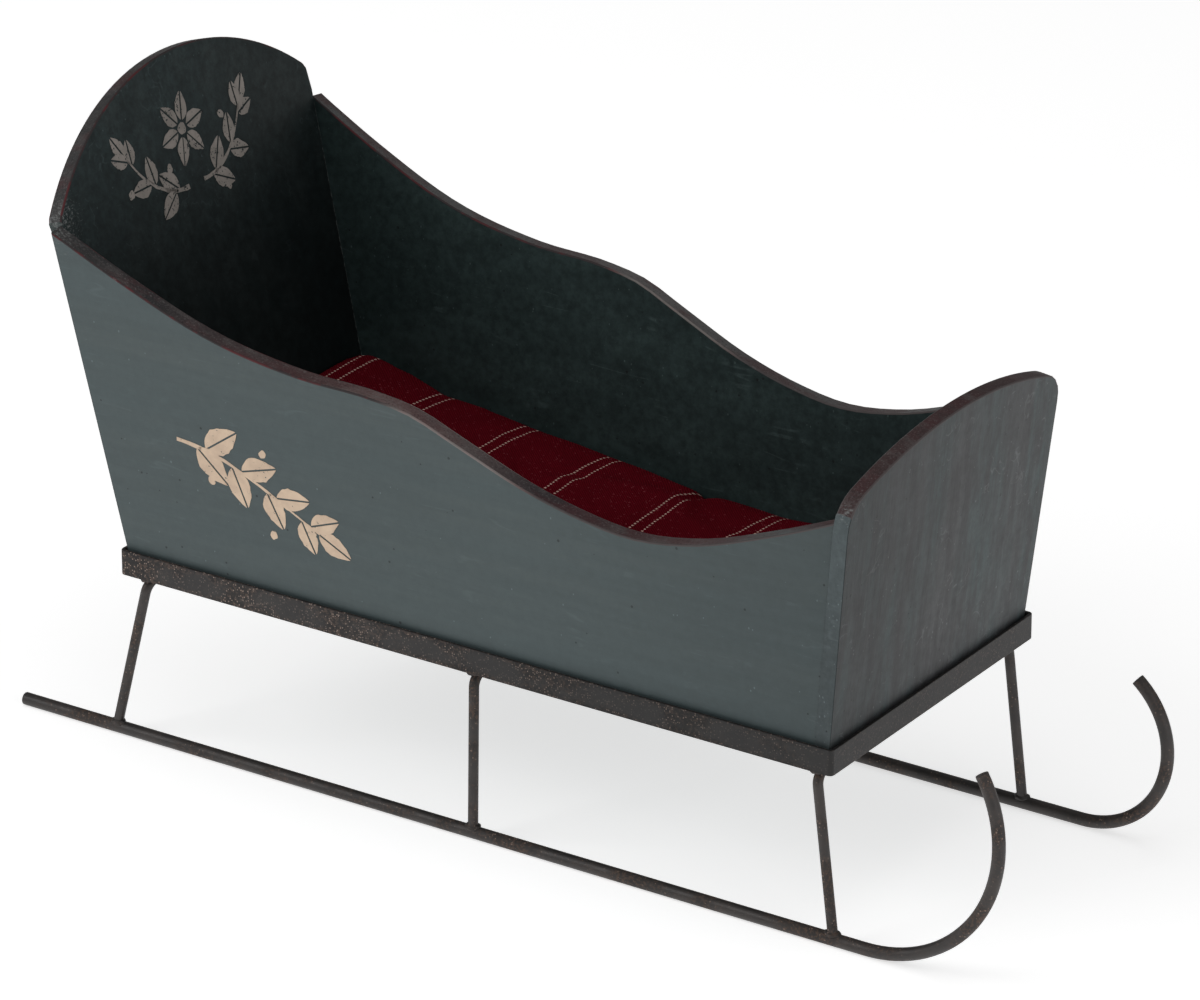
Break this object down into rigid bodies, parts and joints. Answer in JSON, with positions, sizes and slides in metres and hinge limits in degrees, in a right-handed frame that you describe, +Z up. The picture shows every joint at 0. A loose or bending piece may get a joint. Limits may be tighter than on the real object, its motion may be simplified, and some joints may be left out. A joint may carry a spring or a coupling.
{
  "type": "toy sleigh",
  "caption": "Doll's sleigh: a painted wooden tub with scooped sides and arched end boards, held by a steel band and wire hoops on wire runners with curled fronts, and a striped pad inside.",
  "frame": {"origin": "on the floor below the middle of the sleigh's bounding box", "axes": "+X forward, towards the curled ends of the runners; +Y to the sleigh's left; +Z up"},
  "size_m": [0.2777, 0.11, 0.1595],
  "materials": {
    "outer_paint": "matt grey-green paint on wood, worn through at the edges",
    "end_paint": "brushed matt grey paint on wood, worn at the edges",
    "inner_paint": "very dark green paint on wood",
    "dark_steel": "dark coated steel with rust specks",
    "red_cloth": "wine red plain weave with pairs of pale stripes"
  },
  "bodies": {
    "sleigh": {"back_panel": "end_paint", "front_panel": "end_paint", "side_panel_right": "outer_paint", "side_panel_left": "outer_paint", "floor_board": "inner_paint", "base_band": "dark_steel", "hoop_rear": "dark_steel", "hoop_middle": "dark_steel", "hoop_front": "dark_steel", "runner_right": "dark_steel", "runner_left": "dark_steel"},
    "pad": {"cushion": "red_cloth"}
  },
  "joints": [
    {"name": "cushion_lift", "type": "slide", "parent": "sleigh", "child": "pad", "axis": [0, 0, 1], "range_m": [0, 0.12]}
  ]
}
